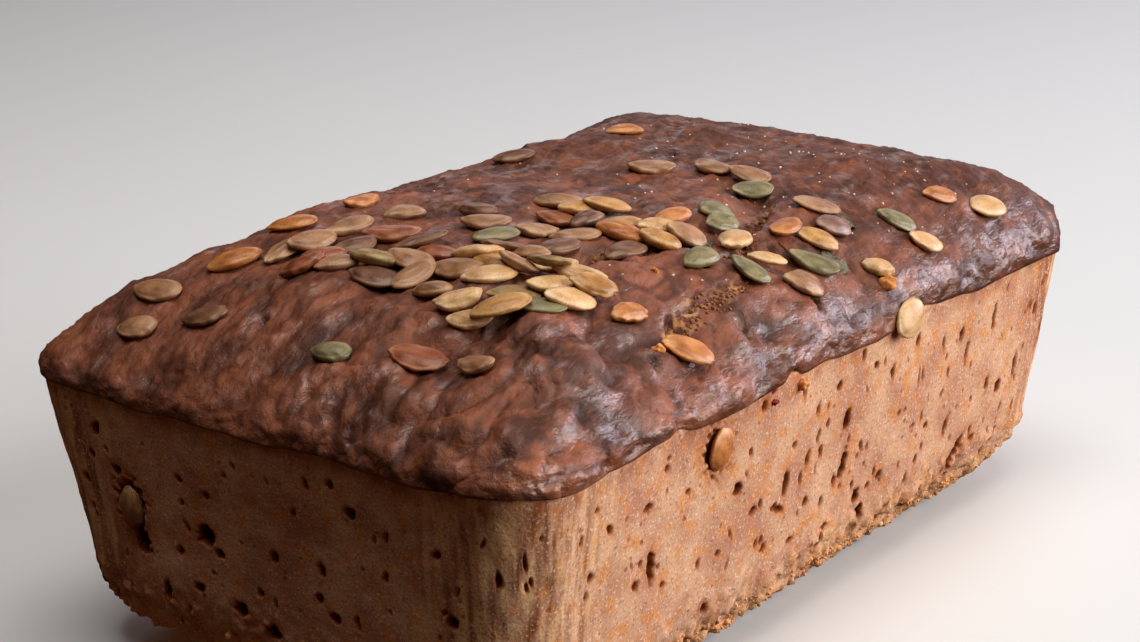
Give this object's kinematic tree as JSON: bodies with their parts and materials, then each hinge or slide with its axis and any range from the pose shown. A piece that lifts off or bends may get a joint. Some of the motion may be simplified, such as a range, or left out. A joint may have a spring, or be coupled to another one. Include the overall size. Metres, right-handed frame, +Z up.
{
  "type": "seeded tin loaf",
  "caption": "Brown bread baked in a rectangular tin: tapered porous walls, a domed glazed crust that overhangs them, and pumpkin seeds baked on top.",
  "frame": {"origin": "centre of the base, on the surface the loaf stands on", "axes": "+X along the loaf, +Y across it, +Z up"},
  "size_m": [0.2208, 0.1316, 0.0871],
  "materials": {
    "baked_wall": "matt, porous baked bread surface",
    "glazed_crust": "dark brown crust with a thin satin glaze",
    "pumpkin_kernel": "smooth baked pumpkin kernels, satin"
  },
  "bodies": {
    "root": {"loaf": "baked_wall"}
  },
  "joints": []
}
